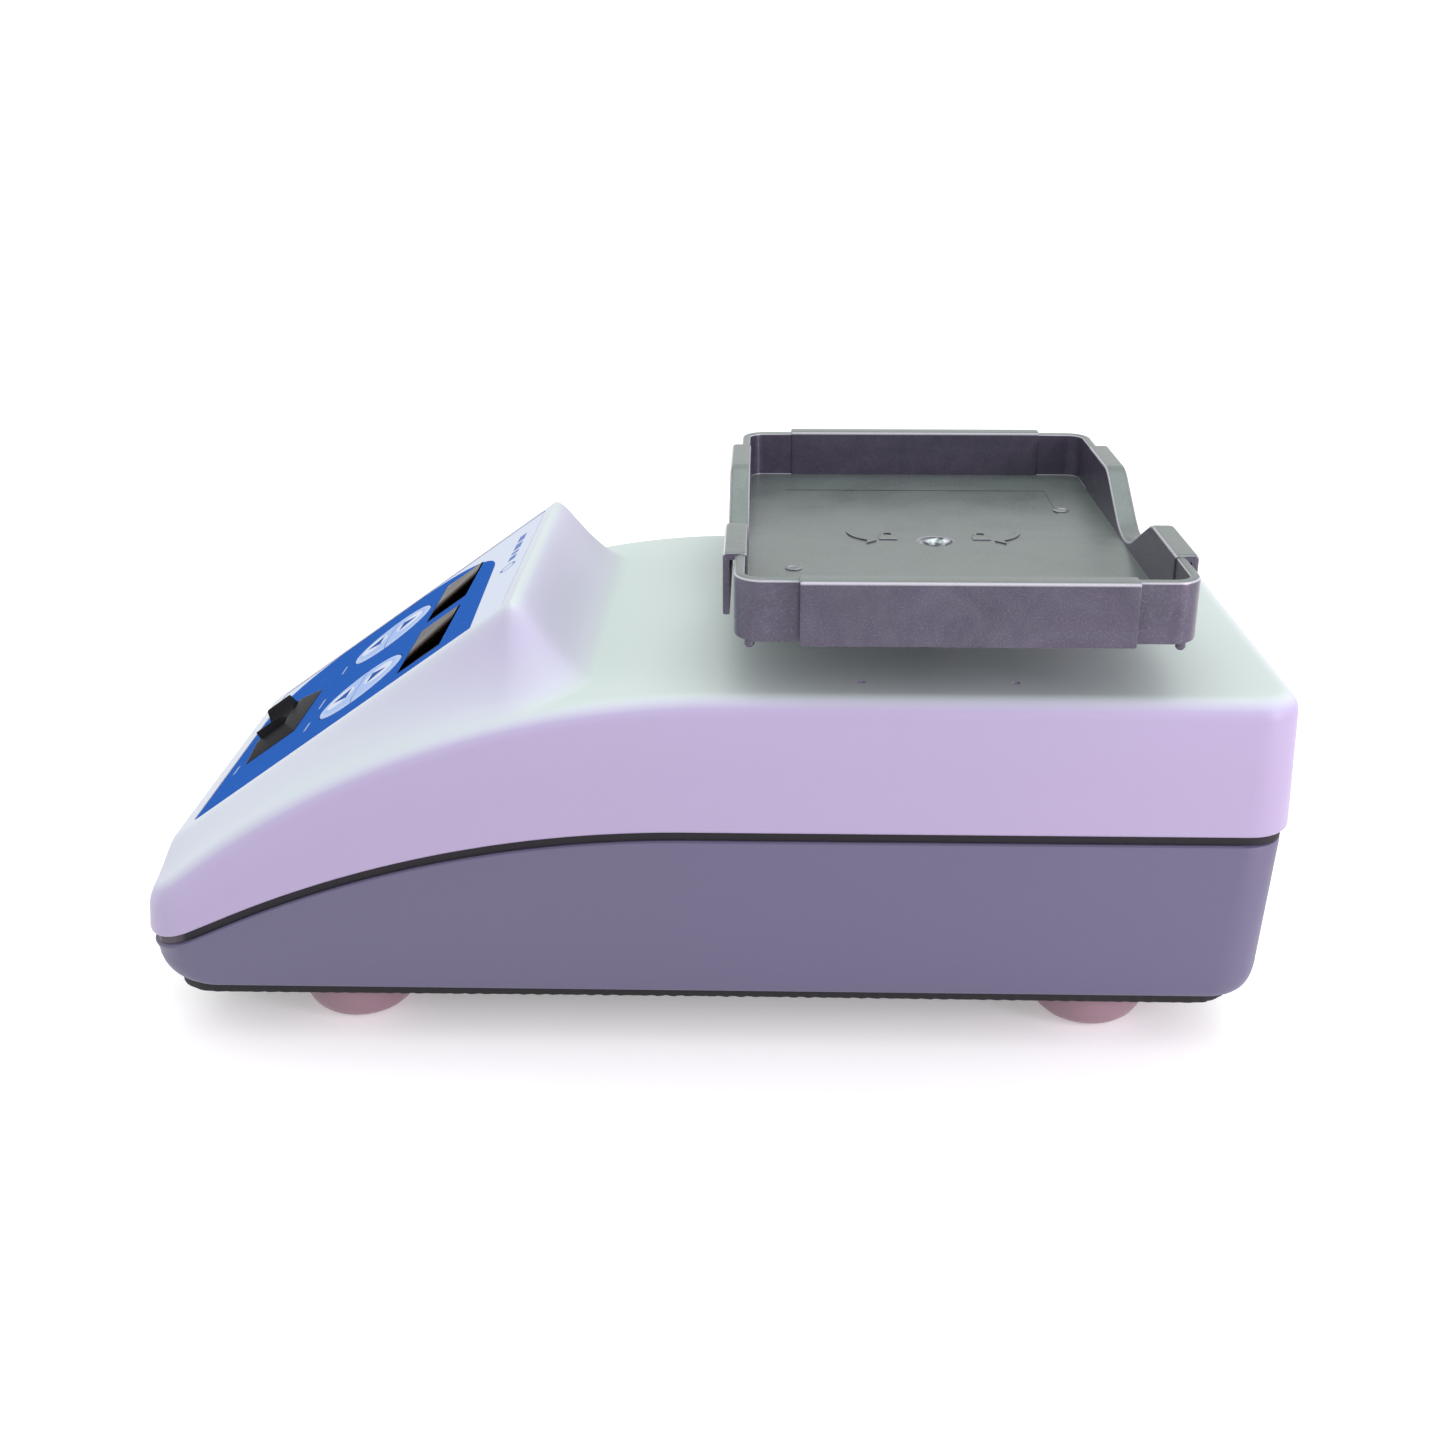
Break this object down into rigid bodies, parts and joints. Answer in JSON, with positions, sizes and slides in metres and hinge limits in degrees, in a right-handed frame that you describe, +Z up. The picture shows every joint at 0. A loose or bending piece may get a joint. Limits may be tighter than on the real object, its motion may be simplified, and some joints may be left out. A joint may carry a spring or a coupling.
{
  "type": "microplate shaker",
  "caption": "Benchtop microplate shaker with a sloping control panel, a wedge-shaped two-part case and an orbiting tray for one standard plate.",
  "frame": {"origin": "on the table, under the middle of the object", "axes": "+X from the control panel to the rear, +Y to the left of someone facing the panel from the front and looking along +X, +Z up"},
  "size_m": [0.2452, 0.1378, 0.1094],
  "materials": {
    "cover_plastic": "satin moulded light grey",
    "case_plastic": "satin moulded slate violet",
    "seam_rubber": "matt black",
    "base_steel": "black powder coat",
    "foot_silicone": "soft translucent mauve",
    "screw_steel": "zinc plated",
    "socket_plastic": "black moulded",
    "label_film": "printed polyester film",
    "display_glass": "dark gloss window",
    "component_plastic": "moulded black",
    "key_film": "printed light blue",
    "circuit_board": "green solder mask",
    "switch_plastic": "fine textured black",
    "drive_aluminium": "machined",
    "motor_can": "dark coated",
    "drive_steel": "ground",
    "bush_bronze": "sintered bronze",
    "tray_plastic": "dark grey metallic moulding"
  },
  "bodies": {
    "housing": {"base_plate": "base_steel", "bearing_housing": "drive_aluminium", "board_screw_1": "screw_steel", "board_screw_2": "screw_steel", "board_screw_3": "screw_steel", "board_screw_4": "screw_steel", "case_screw_1": "screw_steel", "case_screw_2": "screw_steel", "case_screw_3": "screw_steel", "case_screw_4": "screw_steel", "control_board": "circuit_board", "drive_plate": "drive_aluminium", "drive_plate_screw_1": "screw_steel", "drive_plate_screw_2": "screw_steel", "drive_plate_screw_3": "screw_steel", "drive_plate_screw_4": "screw_steel", "foot_front_left": "foot_silicone", "foot_front_right": "foot_silicone", "foot_rear_left": "foot_silicone", "foot_rear_right": "foot_silicone", "idler_bush_left": "bush_bronze", "idler_bush_right": "bush_bronze", "inlet_nut": "screw_steel", "lower_case": "case_plastic", "motor": "motor_can", "overlay_label": "label_film", "power_inlet": "socket_plastic", "seam_gasket": "seam_rubber", "shaft_bearing": "drive_steel", "speed_display_module": "component_plastic", "speed_display_window": "display_glass", "speed_down_tact_switch": "component_plastic", "speed_up_tact_switch": "component_plastic", "switch_housing": "switch_plastic", "time_display_module": "component_plastic", "time_display_window": "display_glass", "time_down_tact_switch": "component_plastic", "time_up_tact_switch": "component_plastic", "top_cover": "cover_plastic"},
    "drive_rotor": {"motor_shaft": "drive_steel", "eccentric_hub": "drive_steel", "counterweight": "drive_steel"},
    "tray": {"tray_carrier": "drive_aluminium", "tray_bearing": "drive_steel", "plate_tray": "tray_plastic", "tray_screw": "screw_steel"},
    "idler_left": {"idler_crank_left": "drive_steel"},
    "idler_right": {"idler_crank_right": "drive_steel"},
    "rocker": {"power_rocker": "switch_plastic"},
    "speed_down_key": {"speed_down_key": "key_film"},
    "speed_up_key": {"speed_up_key": "key_film"},
    "time_down_key": {"time_down_key": "key_film"},
    "time_up_key": {"time_up_key": "key_film"}
  },
  "joints": [
    {"name": "drive_spin", "type": "hinge", "parent": "housing", "child": "drive_rotor", "pos_m": [0.04825, 0, 0.07], "axis": [0, 0, 1], "continuous": true},
    {"name": "tray_orbit", "type": "hinge", "parent": "drive_rotor", "child": "tray", "pos_m": [0.0505, 0, 0.09], "axis": [0, 0, 1], "continuous": true},
    {"name": "idler_left_spin", "type": "hinge", "parent": "housing", "child": "idler_left", "pos_m": [0.04825, 0.017, 0.08], "axis": [0, 0, 1], "continuous": true},
    {"name": "idler_right_spin", "type": "hinge", "parent": "housing", "child": "idler_right", "pos_m": [0.04825, -0.017, 0.08], "axis": [0, 0, 1], "continuous": true},
    {"name": "rocker_tilt", "type": "hinge", "parent": "housing", "child": "rocker", "pos_m": [-0.10371, -0.0035, 0.05165], "axis": [0.8151, 0, 0.5793], "range_deg": [-9, 0]},
    {"name": "speed_down_key_press", "type": "slide", "parent": "housing", "child": "speed_down_key", "axis": [0.5793, 0, -0.8151], "range_m": [0, 0.0004], "stiffness_N_per_m": 1500},
    {"name": "speed_up_key_press", "type": "slide", "parent": "housing", "child": "speed_up_key", "axis": [0.5793, 0, -0.8151], "range_m": [0, 0.0004], "stiffness_N_per_m": 1500},
    {"name": "time_down_key_press", "type": "slide", "parent": "housing", "child": "time_down_key", "axis": [0.5793, 0, -0.8151], "range_m": [0, 0.0004], "stiffness_N_per_m": 1500},
    {"name": "time_up_key_press", "type": "slide", "parent": "housing", "child": "time_up_key", "axis": [0.5793, 0, -0.8151], "range_m": [0, 0.0004], "stiffness_N_per_m": 1500}
  ],
  "couplings": [
    {"joint": "tray_orbit", "follows": "drive_spin", "ratio": -1},
    {"joint": "idler_left_spin", "follows": "drive_spin", "ratio": 1},
    {"joint": "idler_right_spin", "follows": "drive_spin", "ratio": 1}
  ]
}
